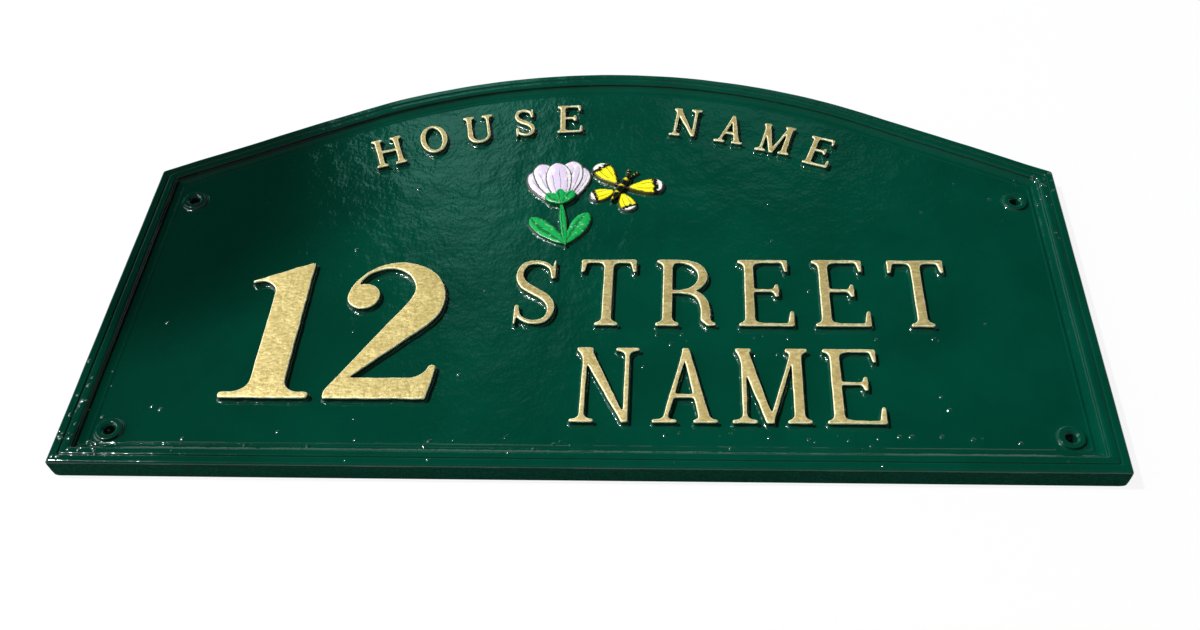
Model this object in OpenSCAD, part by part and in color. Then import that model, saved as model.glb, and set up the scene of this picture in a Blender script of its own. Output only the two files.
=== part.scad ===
// Bridge-top house sign, one sand-cast aluminium plate with a moulded border.
// It lies on its flat back: X runs across the sign, Y up its face and Z out of it.
// Z = 0 is the back, Y = 0 is half way up and X = 0 is the centre line.

/* [Plate] */
// Overall width across the foot
plate_w = 457; // [440:1:500]
// Overall height up to the crown of the arch
plate_h = 260; // [250:1:270]
// Height of the straight sides, foot to shoulder
shoulder_h = 181.5; // [172:0.5:190]
// Radius of the arch over the crown
arch_r = 307; // [280:1:340]
// Thickness of the plate behind the sunk field
field_t = 6.2; // [4:0.1:7]

/* [Border] */
// Height of the rim above the back
rim_h = 10; // [9.4:0.1:12]
// Lean of the outer wall, so that the pattern draws from the sand
draft_angle = 2; // [0.5:0.5:4]
// Radius along the rim's outer edge
edge_r = 1.2; // [0.6:0.1:1.6]
// Distance from the outer edge to the bottom of the fine groove
groove_in = 4.4; // [4:0.1:4.8]
// Depth of the fine groove
groove_d = 0.6; // [0.4:0.05:0.8]
// Distance from the outer edge to the inner side of the bead
bead_in = 8.6; // [8:0.1:9.2]
// How far the bead's sides drop below its crown
bead_drop = 0.45; // [0.3:0.05:0.6]
// Depth from the rim down to the top of the cove
step_drop = 2.1; // [1.6:0.1:2.4]
// Distance from the outer edge to the foot of the cove
cove_in = 12.9; // [12:0.1:14]
// Height of the fine ridge where the cove meets the field
ridge_h = 0.5; // [0.3:0.05:0.8]

/* [Fixing holes] */
// Radius of the four screw holes
hole_r = 2.25; // [1.8:0.05:2.6]
// Radius of the countersink at the face of the boss
sink_r = 3.4; // [3:0.1:4.2]
// Radius of the flat on each boss
boss_r = 5.6; // [5:0.1:6]
// Height of each boss above the field
boss_h = 1.7; // [1:0.1:2.5]
// Distance from each side to the holes
hole_side = 21.5; // [21:0.5:26]
// Distance from the foot, and from the shoulders, to the holes
hole_end = 19.5; // [19:0.5:24]

/* [Numerals] */
// Height of the house number
numeral_h = 81.6; // [60:0.2:90]
// Height of the number above the foot of the sign
numeral_foot = 36; // [30:1:50]
// Distance from the left side to the number
numeral_side = 65; // [50:1:80]
// Gap between the two figures
numeral_gap = 6.5; // [3:0.5:12]
// Height of the number and the ornament above the field
relief_h = 3; // [1.5:0.1:4]

/* [Ornament] */
// Height of the middle of the ornament above the foot of the sign
ornament_up = 161; // [158:1:166]
// Distance of the ornament to the left of the centre line
ornament_left = 5; // [0:1:20]
// Size of the ornament, as a share of its full size
ornament_size = 1; // [0.7:0.05:1.05]

/* [Hidden] */
$fn = 96;
half_w = plate_w / 2;
foot_y = -plate_h / 2;
shoulder_y = foot_y + shoulder_h;
arch_y = plate_h / 2 - arch_r;
// The sloping tops are tangents from the shoulders to the arch, arch_angle off level
reach = norm([half_w, shoulder_y - arch_y]);
arch_angle = atan2(half_w, shoulder_y - arch_y) - acos(arch_r / reach);
// They sit this much inside the true tangents, and the arch's section this much off theirs
// in height, so that the two cross cleanly
slope_ease = 0.05;
arch_lift = 0.01;
far = 2 * plate_w;
eps = 0.02;

// Half width of the fine ridge, and its middle, which overlaps the foot of the cove
ridge_half = 0.65;
ridge_in = cove_in + ridge_half / 2;
// Middle of the bead, the top of its outer side, and the radius of its domed crown
bead_start = groove_in + groove_d;
bead_mid = (bead_start + bead_in) / 2;
crown_top = rim_h + 0.05;
crown_sag = bead_drop + crown_top - rim_h;
crown_r = (pow(bead_in - bead_mid, 2) + crown_sag * crown_sag) / (2 * crown_sag);
crown_turn = asin((bead_in - bead_mid) / crown_r);
// Radius of the cove as a share of its chord
cove_turn = 1.4;

// Numerals are drawn on this height and scaled to numeral_h
figure_h = 81.6;
figure_one_w = 40.5;

// Drop-shaped outline with its point at the origin and its round end at x = len
function drop_points(len, wid, nip) = [
    for (t = [0 : 15 : 345])
        [len * (1 - cos(t)) / 2, wid * sin(t) * pow(sin(t / 2), nip)]
];

// Points round an arc of the moulding, from angle a to angle b
function bend(centre, r, a, b, steps = 4) = [
    for (k = [0 : steps])
        centre + r * [cos(a + (b - a) * k / steps), sin(a + (b - a) * k / steps)]
];

// Sweeps a section along one straight side through p, whose inward side faces turn + 90
module straight(p, turn) {
    translate([p[0], p[1], 0])
        rotate([0, 0, turn])
            translate([-far / 2, 0, 0])
                rotate([90, 0, 90])
                    linear_extrude(far) children();
}

// Sweeps a section round the arch, and round the whole circle that the arch is part of
module arch() {
    translate([0, arch_y, 0])
        rotate_extrude($fn = 360)
            intersection() {
                translate([arch_r, 0]) mirror([1, 0]) children();
                translate([0, -far]) square([arch_r, 2 * far]);
            }
}

// All that lies below the two radii where the slopes touch the arch
module below_arch() {
    ray = far * [sin(arch_angle), cos(arch_angle)];
    translate([0, arch_y, -far / 2])
        linear_extrude(far)
            polygon([[0, 0], ray, [far, -far], [-far, -far], [-ray[0], ray[1]]]);
}

// Carries a section round the whole outline: x is the distance in from the outer edge,
// y the height, and the section runs on inwards from one side to far. The corners mitre.
module carried(lift = -arch_lift) {
    slope_p = [half_w, shoulder_y] - slope_ease * [sin(arch_angle), cos(arch_angle)];
    intersection() {
        straight([0, foot_y], 0) children();
        straight([half_w, 0], 90) children();
        straight(slope_p, 180 - arch_angle) children();
        straight([-slope_p[0], slope_p[1]], 180 + arch_angle) children();
        straight([-half_w, 0], 270) children();
        union() {
            translate([0, 0, lift]) arch() children();
            below_arch();
        }
    }
}

// Section of the blank: a leaning wall under a rounded edge
module blank_section() {
    lean = tan(draft_angle);
    wall = lean * (rim_h - edge_r);
    polygon(concat(
        [[-lean, -1]],
        bend([wall + edge_r, rim_h - edge_r], edge_r, 180 - draft_angle, 90),
        [[far, rim_h], [far, -1]]
    ));
}

// Section of all that lies inside the outer side of the groove
module groove_section() {
    low = rim_h - groove_d;
    polygon([[groove_in, low], [groove_in - groove_d - 1, rim_h + 1], [far, rim_h + 1], [far, low]]);
}

// Section of all that lies inside the inner side of the groove and the bead's outer side
module bead_section() {
    low = rim_h - groove_d - 1;
    polygon(concat(
        [[groove_in - 1, low]],
        bend([bead_mid, crown_top - crown_r], crown_r, 90 + crown_turn, 90),
        [[bead_mid, rim_h + 2], [far, rim_h + 2], [far, low]]
    ));
}

// Section of what is sunk: the bead's inner side, the step, the cove and the field
module sunk_section() {
    cove_w = cove_in - bead_in;
    cove_h = rim_h - step_drop - field_t;
    chord = norm([cove_w, cove_h]);
    cove_r = chord * cove_turn;
    mid = [bead_in + cove_w / 2, field_t + cove_h / 2];
    centre = mid + sqrt(cove_r * cove_r - chord * chord / 4) * [cove_h, cove_w] / chord;
    start = atan2(field_t + cove_h - centre[1], bead_in - centre[0]);
    end = atan2(field_t - centre[1], cove_in - centre[0]);
    polygon(concat(
        [[bead_mid, rim_h + 1]],
        bend([bead_mid, crown_top - crown_r], crown_r, 90, 90 - crown_turn),
        bend(centre, cove_r, start, end),
        [[far, field_t], [far, rim_h + 1]]
    ));
}

// Section of all that lies inside a line through the ridge's crest that leans by side
module ridge_section(side, ends) {
    crest = [ridge_in, field_t + ridge_h];
    low = crest - ends * [side * ridge_half, ridge_h];
    high = crest + ends * [side * ridge_half, ridge_h];
    polygon([low, high, [far, high[1]], [far, low[1]]]);
}

// The blank with its moulding cut: rim, groove, bead, step, cove, ridge and sunk field
module moulded_plate() {
    difference() {
        intersection() {
            carried(arch_lift) blank_section();
            translate([-far / 2, -far / 2, 0]) cube([far, far, far]);
        }
        difference() {
            carried() groove_section();
            carried() bead_section();
        }
        carried() sunk_section();
    }
    difference() {
        carried() ridge_section(1, 2);
        carried() ridge_section(-1, 3);
    }
}

module hole_places() {
    for (x = [-1, 1] * (half_w - hole_side))
        for (y = [foot_y + hole_end, shoulder_y - hole_end])
            translate([x, y, 0]) children();
}

// Low round boss whose side runs out into the field in a small hollow
module boss() {
    hollow_r = boss_h * 0.6;
    rotate_extrude()
        difference() {
            translate([0, field_t - 1]) square([boss_r + hollow_r, 1 + boss_h]);
            translate([boss_r + hollow_r, field_t + hollow_r - 0.1]) circle(hollow_r);
            translate([boss_r, field_t + hollow_r - 0.1]) square([2 * hollow_r, boss_h]);
        }
}

// Screw hole with its countersink, drilled right through
module hole() {
    top = field_t + boss_h;
    depth = sink_r - hole_r;
    translate([0, 0, -1]) cylinder(r = hole_r, h = top + 2);
    translate([0, 0, top - depth]) cylinder(r1 = hole_r, r2 = sink_r, h = depth);
    translate([0, 0, top - eps]) cylinder(r = sink_r, h = 1);
}

// Figure 1 with a beaked flag and a bracketed foot
module figure_one() {
    stem_left = 12.8;
    stem_right = 28.5;
    serif_t = 3.2;
    bracket_r = 7.5;
    beak_r = 7.7;
    beak = [5.2, 61.5];
    translate([stem_left, 0]) square([stem_right - stem_left, beak[1] + eps]);
    difference() {
        polygon([[0.2, 69], [stem_right, figure_h], [stem_right, beak[1]], [0.2, beak[1]]]);
        translate(beak) circle(beak_r);
        translate([beak[0] - beak_r, beak[1] - 1]) square([beak_r, beak_r - 1]);
    }
    square([figure_one_w, serif_t]);
    for (side = [-1, 1]) {
        edge = side < 0 ? stem_left : stem_right;
        difference() {
            translate([edge - (side < 0 ? bracket_r : 0), 0]) square([bracket_r, serif_t + bracket_r]);
            translate([edge + side * bracket_r, serif_t + bracket_r]) circle(bracket_r);
        }
    }
}

// Figure 2: a bowl that swells on the right, a neck that thins and a spurred foot
module figure_two() {
    bowl = [24, 58.4];
    bowl_r = 23.2;
    eye = [18.6, 63.9];
    eye_r = 13.8;
    ball = [8.4, 60];
    ball_r = 7.6;
    neck_in = eye + eye_r * [cos(30), -sin(30)];
    neck_out = bowl + (bowl_r - 0.05) * [cos(45), -sin(45)];
    heel_h = neck_in[1] - neck_in[0] * tan(60);
    foot_t = 11.5;
    foot_w = 48.4;
    spur_h = 19;
    spur_r = 9.5;
    spur_lean = 2.6;
    spur = [foot_w - 12.5, foot_t + spur_r];
    past = -4;
    difference() {
        translate(bowl) circle(bowl_r);
        translate(eye) circle(eye_r);
        polygon([neck_in, [0, heel_h], [past, heel_h], [past, ball[1]], [eye[0], ball[1]]]);
    }
    translate(ball) circle(ball_r);
    difference() {
        polygon([
            neck_in, [0, heel_h], [0, 0], [foot_w - spur_lean, 0], [foot_w, spur_h], [spur[0], spur_h],
            [spur[0], foot_t], [neck_out[0] - neck_out[1] + foot_t, foot_t], neck_out
        ]);
        translate(spur) circle(spur_r);
    }
}

module numerals() {
    k = numeral_h / figure_h;
    translate([-half_w + numeral_side, foot_y + numeral_foot, field_t - eps])
        linear_extrude(relief_h + eps)
            scale(k) {
                figure_one();
                translate([figure_one_w + numeral_gap / k, 0]) figure_two();
            }
}

// Drop-shaped piece of relief whose top is crowned across its width
module leaf(len, wid, nip, top, crown) {
    half = wid * 0.8;
    crown_r = (half * half + crown * crown) / (2 * crown);
    intersection() {
        linear_extrude(top + 1) polygon(drop_points(len, wid, nip));
        translate([-1, 0, top - crown_r]) rotate([0, 90, 0]) cylinder(r = crown_r, h = len + 2, $fn = 180);
    }
}

// Cup of pointed petals, taller towards the viewer
module petals() {
    for (a = [62, 118]) rotate([0, 0, a]) leaf(30, 8, 0.8, 0.6 * relief_h, 0.5);
    for (a = [74, 106]) rotate([0, 0, a]) leaf(33, 8.5, 0.9, 0.8 * relief_h, 0.6);
    rotate([0, 0, 90]) leaf(31, 8.5, 0.7, relief_h, 0.8);
}

// Stem with a calyx and two long leaves
module stem() {
    for (a = [52, 90, 128]) rotate([0, 0, a]) leaf(11, 4, 1, relief_h + 0.3, 0.6);
    translate([-1.5, -27, 0]) cube([3, 28, 0.8 * relief_h]);
    translate([0, -27, 0]) {
        rotate([0, 0, 128]) leaf(26, 5.5, 0.6, 0.7 * relief_h, 0.6);
        rotate([0, 0, 58]) leaf(24, 5.5, 0.6, 0.7 * relief_h, 0.6);
    }
}

// Butterfly with its wings open, heading up the face
module butterfly() {
    for (m = [0, 1]) mirror([m, 0, 0]) {
        translate([1, 1, 0]) rotate([0, 0, 38]) leaf(19, 10, 1.2, 0.8 * relief_h, 0.5);
        translate([1, 0, 0]) rotate([0, 0, -38]) leaf(15, 8.5, 1.2, 0.6 * relief_h, 0.5);
    }
    translate([0, -9, 0]) rotate([0, 0, 90]) leaf(20, 2.6, 0.4, relief_h, 0.8);
}

module ornament() {
    translate([-ornament_left, foot_y + ornament_up, field_t - eps])
        scale(ornament_size) {
            translate([-14, -3, 0]) rotate([0, 0, 8]) {
                petals();
                stem();
            }
            translate([15, 9, 0]) rotate([0, 0, -24]) butterfly();
        }
}

module plaque() {
    color("darkgreen")
        difference() {
            union() {
                moulded_plate();
                hole_places() boss();
                numerals();
                ornament();
            }
            hole_places() hole();
        }
}

plaque();
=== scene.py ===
"""Looks of the cast house sign: its enamelled plate, gold number and letters, and painted ornament."""

import math

import bpy
import numpy as np
from mathutils import Matrix, Vector
from mathutils.geometry import delaunay_2d_cdt


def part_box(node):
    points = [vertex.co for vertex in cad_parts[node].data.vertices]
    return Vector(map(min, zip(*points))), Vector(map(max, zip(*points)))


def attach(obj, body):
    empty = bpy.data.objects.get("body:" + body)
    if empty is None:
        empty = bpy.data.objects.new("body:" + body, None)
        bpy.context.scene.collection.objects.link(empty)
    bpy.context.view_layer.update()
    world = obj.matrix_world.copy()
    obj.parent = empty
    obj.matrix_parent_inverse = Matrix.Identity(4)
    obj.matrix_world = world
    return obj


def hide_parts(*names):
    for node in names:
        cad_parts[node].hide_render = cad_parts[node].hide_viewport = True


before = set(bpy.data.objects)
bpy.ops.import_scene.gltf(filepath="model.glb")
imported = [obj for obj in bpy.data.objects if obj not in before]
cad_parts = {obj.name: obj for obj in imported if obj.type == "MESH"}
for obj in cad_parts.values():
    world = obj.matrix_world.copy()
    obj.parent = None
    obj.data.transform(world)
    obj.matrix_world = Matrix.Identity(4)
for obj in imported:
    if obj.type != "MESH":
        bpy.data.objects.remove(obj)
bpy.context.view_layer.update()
LOW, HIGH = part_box("plaque")
MM = 0.001

bl_info = {
    "name": "Bridge-top house sign",
    "version": (1, 0, 0),
    "blender": (4, 5, 0),
    "location": "3D View > Sidebar > Sign",
    "description": "Dresses the cast house sign: enamel, gold lettering and painted ornament",
    "category": "Object",
}


def length(name, description, default):
    """A size in metres that the panel shows"""
    return bpy.props.FloatProperty(
        name=name, description=description, default=default, min=0.0, unit="LENGTH", precision=5
    )


def colour(name, description, default):
    """A colour that the panel shows, as linear values"""
    return bpy.props.FloatVectorProperty(
        name=name, description=description, default=default, size=3, min=0.0, max=1.0, subtype="COLOR"
    )


class SignPlateSizes(bpy.types.PropertyGroup):
    """Sizes of the plate, which are those of the construction"""

    width: length("Width", "Overall width across the foot", HIGH.x - LOW.x)
    height: length("Height", "Overall height up to the crown of the arch", -2 * LOW.y)
    rim: length("Rim height", "Height of the rim above the back", HIGH.z - LOW.z)
    shoulder: length("Shoulder", "Height of the straight sides", 181.5 * MM)
    arch: length("Arch radius", "Radius of the arch over the crown", 307 * MM)
    field: length("Field", "Thickness of the plate behind the sunk field", 6.2 * MM)
    edge: length("Edge radius", "Radius along the rim's outer edge", 1.2 * MM)
    cove_in: length("Border width", "Distance from the outer edge to the foot of the cove", 12.9 * MM)
    hole: length("Hole radius", "Radius of the screw holes", 2.25 * MM)
    sink: length("Countersink radius", "Radius of the countersink at the face", 3.4 * MM)
    boss: length("Boss radius", "Radius of the flat on each boss", 5.6 * MM)
    boss_rise: length("Boss height", "Height of each boss above the field", 1.7 * MM)
    hole_side: length("Hole from side", "Distance from each side to the holes", 21.5 * MM)
    hole_end: length("Hole from end", "Distance from foot and shoulders to the holes", 19.5 * MM)
    ripple: length("Ripple", "Height of the slow ripple that the sand mould leaves", 0.06 * MM)


class SignLetterSizes(bpy.types.PropertyGroup):
    """Sizes and places of the raised number and letters"""

    relief: length("Relief", "Height of number, letters and ornament above the field", 3 * MM)
    number: length("Number height", "Height of the house number", 81.6 * MM)
    number_foot: length("Number foot", "Height of the number above the foot of the sign", 36 * MM)
    number_side: length("Number side", "Distance from the left side to the number", 65 * MM)
    number_gap: length("Number gap", "Gap between the two figures", 6.5 * MM)
    row: length("Row letters", "Height of the letters in the two straight rows", 41 * MM)
    bow: length("Arch letters", "Height of the letters along the arch", 21.2 * MM)
    bow_radius: length("Arch letters' radius", "Radius that the arch letters follow", 250 * MM)


class SignFinish(bpy.types.PropertyGroup):
    """Colours of the paints"""

    enamel: colour("Enamel", "Gloss enamel over the whole casting", (0.0003, 0.047, 0.027))
    gold: colour("Gold", "Gold paint on the number", (0.61, 0.48, 0.182))
    dull_gold: colour("Letter gold", "Thinner gold paint on the letters", (0.495, 0.383, 0.158))
    lilac: colour("Lilac", "Paint on the petals", (0.68, 0.56, 0.74))
    leaf: colour("Leaf green", "Paint on the stem and leaves", (0.006, 0.36, 0.075))
    yellow: colour("Yellow", "Paint on the wings", (0.87, 0.78, 0.012))
    white: colour("White", "White touches on petals and wings", (0.86, 0.84, 0.82))
    black: colour("Black", "Black touches on the wings and the body", (0.006, 0.006, 0.006))


class SignStage(bpy.types.PropertyGroup):
    """Camera and floor"""

    eye: bpy.props.FloatVectorProperty(
        name="Camera place", description="Where the camera stands",
        default=(44.6 * MM, -416.1 * MM, 442.2 * MM), size=3, subtype="TRANSLATION",
    )
    lens: bpy.props.FloatProperty(
        name="Lens", description="Focal length on a 36 mm sensor", default=37.1, unit="CAMERA"
    )
    floor: colour("Floor", "Colour of the pale floor", (0.8, 0.8, 0.8))


def settings():
    """The plate's sizes, the letters' sizes and the colours, as the panel holds them"""
    scene = bpy.context.scene
    return scene.sign_plate, scene.sign_letters, scene.sign_finish


def seeded_waves(seed, count, short, long):
    """Slow random waves as a function of x and y, about 1 high, with wavelengths from short to long"""
    rng = np.random.default_rng(seed)
    turn = rng.uniform(0, 2 * math.pi, count)
    number = 2 * math.pi / rng.uniform(short, long, count)
    phase = rng.uniform(0, 2 * math.pi, count)

    def height(x, y):
        total = 0.0
        for k in range(count):
            total = total + np.sin(number[k] * (x * np.cos(turn[k]) + y * np.sin(turn[k])) + phase[k])
        return total / math.sqrt(count / 2)

    return height


cast_ripple = seeded_waves(seed=3, count=14, short=18 * MM, long=70 * MM)
hand_wobble = seeded_waves(seed=5, count=10, short=5 * MM, long=16 * MM)
paint_lumps = seeded_waves(seed=8, count=16, short=1.6 * MM, long=4.5 * MM)


def oval(x, y, rx, ry, turns):
    """Points of an oval round a centre at some angles"""
    return np.stack([x + rx * np.cos(turns), y + ry * np.sin(turns)], axis=1)


def spokes(count):
    """Evenly spaced angles round a full turn"""
    return np.linspace(0, 2 * math.pi, count, endpoint=False)


def turned(x, y, degrees):
    """A place turned about the origin"""
    c, s = math.cos(math.radians(degrees)), math.sin(math.radians(degrees))
    return c * x - s * y, s * x + c * y


def rounded(points, passes=2):
    """An open line with its corners cut several times over, as paint softens them"""
    points = np.array(points, float)
    for _ in range(passes):
        a, b = points[:-1], points[1:]
        cut = np.stack([0.75 * a + 0.25 * b, 0.25 * a + 0.75 * b], axis=1).reshape(-1, 2)
        points = np.concatenate([points[:1], cut, points[-1:]])
    return points


def evenly(points, spacing):
    """A closed line through the same places with evenly spaced points"""
    closed = np.concatenate([points, points[:1]])
    run = np.concatenate([[0], np.cumsum(np.linalg.norm(np.diff(closed, axis=0), axis=1))])
    at = np.linspace(0, run[-1], max(3, round(run[-1] / spacing)), endpoint=False)
    return np.stack([np.interp(at, run, closed[:, 0]), np.interp(at, run, closed[:, 1])], axis=1)


def grid_points(low, high, step):
    """Staggered grid of points between two corners"""
    rows = np.arange(low[1], high[1], step * math.sqrt(3) / 2)
    return np.array([(x + (step / 2 if k % 2 else 0), y) for k, y in enumerate(rows)
                     for x in np.arange(low[0], high[0], step)])


class Skin:
    """Mesh under construction, made of rings and patches that share their vertices"""

    least_side = 0.03 * MM

    def __init__(self):
        self.points = []
        self.faces = []

    def ring(self, xy, z):
        """Adds a closed ring of vertices and returns their numbers"""
        start = len(self.points)
        heights = np.broadcast_to(z, len(xy))
        self.points.extend((float(x), float(y), float(h)) for (x, y), h in zip(xy, heights))
        return list(range(start, len(self.points)))

    def bridge(self, rings):
        """Joins each ring to the next, all of one count, with quads"""
        for outer, inner in zip(rings, rings[1:]):
            for i in range(len(outer)):
                j = (i + 1) % len(outer)
                self.faces.append((outer[i], outer[j], inner[j], inner[i]))

    def patch(self, loops, inner, keep, flip=False):
        """Fills between loops with triangles that also meet the inner points, where keep is true"""
        index = [i for loop in loops for i in loop] + list(inner)
        flat = [Vector(self.points[i][:2]) / MM for i in index]
        edges, start = [], 0
        for loop in loops:
            n = len(loop)
            edges += [(start + i, start + (i + 1) % n) for i in range(n)]
            start += n
        spots, _, faces, origin, _, _ = delaunay_2d_cdt(flat, edges, [], 0, 1e-5)
        if not faces:
            raise RuntimeError("a patch came out empty")
        number = []
        for spot, source in zip(spots, origin):
            if not source:
                self.points.append((spot.x * MM, spot.y * MM, self.points[index[0]][2]))
            number.append(index[source[0]] if source else len(self.points) - 1)
        plane = np.array([self.points[i][:2] for i in number])
        tri = np.array(faces)
        a, b, c = (plane[tri[:, k]] for k in range(3))
        area = np.abs((b - a)[:, 0] * (c - a)[:, 1] - (b - a)[:, 1] * (c - a)[:, 0])
        tri = tri[area > self.least_side ** 2]
        middle = plane[tri].mean(axis=1)
        for face in tri[keep(middle[:, 0], middle[:, 1])]:
            corners = [number[i] for i in face]
            self.faces.append(tuple(reversed(corners)) if flip else tuple(corners))

    def shell(self, name, material):
        """Makes a smooth object of one material"""
        mesh = bpy.data.meshes.new(name)
        mesh.from_pydata(self.points, [], self.faces)
        mesh.validate()
        mesh.shade_smooth()
        mesh.materials.append(material)
        obj = bpy.data.objects.new(name, mesh)
        bpy.context.scene.collection.objects.link(obj)
        return obj

    def piece(self, name, material, slot, marks=None):
        """Makes a piece that rides on the sign's only body and carries marks at its points"""
        obj = self.shell(name, material)
        for key, values in (marks or {}).items():
            layer = obj.data.attributes.new(key, "FLOAT_VECTOR", "POINT")
            layer.data.foreach_set("vector", np.asarray(values, np.float32).ravel())
        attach(obj, "root")
        return obj


class Outline:
    """Bridge-top outline in plan: a foot, two sides, and an arch between two slopes that touch it"""

    soft_reach = 5 * MM

    def __init__(self, sizes):
        self.half = sizes.width / 2
        self.foot = -sizes.height / 2
        self.shoulder = self.foot + sizes.shoulder
        self.radius = sizes.arch
        self.centre = sizes.height / 2 - sizes.arch
        rise = self.shoulder - self.centre
        self.turn = math.atan2(self.half, rise) - math.acos(self.radius / math.hypot(self.half, rise))
        self.normal = np.array([math.sin(self.turn), math.cos(self.turn)])

    def corners(self, inset):
        """Right foot corner, right shoulder and right touching point, moved in by inset"""
        x = self.half - inset
        reach = self.radius - inset
        shoulder_y = self.centre + (reach - self.normal[0] * x) / self.normal[1]
        touch = np.array([0, self.centre]) + reach * self.normal
        return np.array([x, self.foot + inset]), np.array([x, shoulder_y]), touch

    def ring(self, inset, step, passes):
        """Points round the outline, moved in by inset, the same count for every inset"""
        foot, shoulder, touch = self.corners(inset)
        mirror = np.array([-1, 1])
        walk = [foot * mirror, foot, shoulder, touch, touch * mirror, shoulder * mirror]
        low, high, end = self.corners(0)
        side, slope = high[1] - low[1], np.linalg.norm(end - high)
        arch = 2 * self.turn * self.radius
        runs = []
        for k, long in enumerate([2 * self.half, side, slope, arch, slope, side]):
            n = max(8, round(long / step))
            t = np.arange(n) / n
            if k == 3:
                angle = self.turn * (1 - 2 * t)
                reach = self.radius - inset
                runs.append(np.stack([reach * np.sin(angle), self.centre + reach * np.cos(angle)], axis=1))
            else:
                t = 0.2 * t + 0.8 * (0.5 - 0.5 * np.cos(math.pi * t))
                runs.append(walk[k] + t[:, None] * (walk[(k + 1) % len(walk)] - walk[k]))
        return self.softened(np.concatenate(runs), [walk[i] for i in (0, 1, 2, 5)], passes)

    def softened(self, points, corners, passes):
        """The ring with its corners rounded as paint and the mould leave them"""
        near = np.min([np.linalg.norm(points - c, axis=1) for c in corners], axis=0)
        share = np.clip(1.5 - 1.5 * near / self.soft_reach, 0, 1)[:, None] * 0.5
        for _ in range(passes):
            points = points + share * ((np.roll(points, 1, 0) + np.roll(points, -1, 0)) / 2 - points)
        return points

    def depth(self, x, y):
        """Distance in from the outline"""
        up = y - self.centre
        slope = self.radius - (np.abs(x) * self.normal[0] + up * self.normal[1])
        bow = self.radius - np.hypot(x, up)
        top = np.where(np.abs(np.arctan2(x, up)) < self.turn, bow, slope)
        return np.minimum.reduce([self.half - np.abs(x), y - self.foot, top])


def section(x, y, steps):
    """Points of a section, each so many millimetres from one place"""
    return [(x + right * MM, y + up * MM) for right, up in steps]


def border_profile(sizes):
    """Section of the moulding from the back, over the rim and the bead, down the cove to the field"""
    rim, field, cove = sizes.rim, sizes.field, sizes.cove_in
    lean = math.tan(math.radians(2)) * (rim - sizes.edge)
    wall = section(0, 0, ((0.1, 0.12), (0, 0.5))) + [(lean * 0.5, rim / 2)]
    bend = np.radians(np.linspace(178, 90, 6))
    edge = oval(lean + sizes.edge, rim - sizes.edge, sizes.edge, sizes.edge, bend)
    groove = section(0, rim, ((3.7, 0), (4.0, 0), (4.15, -0.35), (4.35, -0.65), (4.65, -0.65), (4.85, -0.35)))
    bead = section(0, rim, ((5.05, -0.08), (5.6, 0), (6.8, 0.05), (7.7, -0.03), (8.35, -0.35), (8.7, -0.8),
                            (8.7, -1.75), (8.85, -2.15)))
    step_in, step = 8.6 * MM, rim - 2.1 * MM
    dip = [(step_in + (cove - step_in) * t, field + (step - field) * (1 - t) ** 1.7)
           for t in (0.2, 0.4, 0.6, 0.8, 0.93)]
    ridge = section(cove, field, ((-0.02, 0.25), (0.33, 0.34), (0.68, 0.3), (1.13, 0.02), (1.93, 0)))
    return np.concatenate([[(0.5 * MM, 0)], rounded(wall + list(edge) + groove + bead + dip + ridge)])


def boss_profile(sizes):
    """Section of a boss from the field up over its flat, down the countersink and through the bore"""
    top = sizes.field + sizes.boss_rise
    lip = top - (sizes.sink - sizes.hole)
    line = section(sizes.boss, sizes.field, ((2.8, 0), (1.4, 0.05), (0.6, 0.3), (0.25, 0.8)))
    line += section(sizes.boss, top, ((0.1, -0.2), (-0.3, 0)))
    line += section(sizes.sink, top, ((0.5, 0), (-0.1, -0.15)))
    line += section(sizes.hole, lip, ((0.1, 0), (0, -0.6))) + [(sizes.hole, 0.5 * MM)]
    return np.concatenate([rounded(line), [(sizes.hole + 0.2 * MM, 0)]])


def hole_places(sizes):
    """Centres of the screw holes"""
    x, foot = sizes.width / 2 - sizes.hole_side, -sizes.height / 2
    ends = (foot + sizes.hole_end, foot + sizes.shoulder - sizes.hole_end)
    return [(s * x, y) for s in (-1, 1) for y in ends]


def hole_distance(sizes, x, y):
    """Distance to the nearest hole's centre"""
    return np.min([np.hypot(x - cx, y - cy) for cx, cy in hole_places(sizes)], axis=0)


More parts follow.
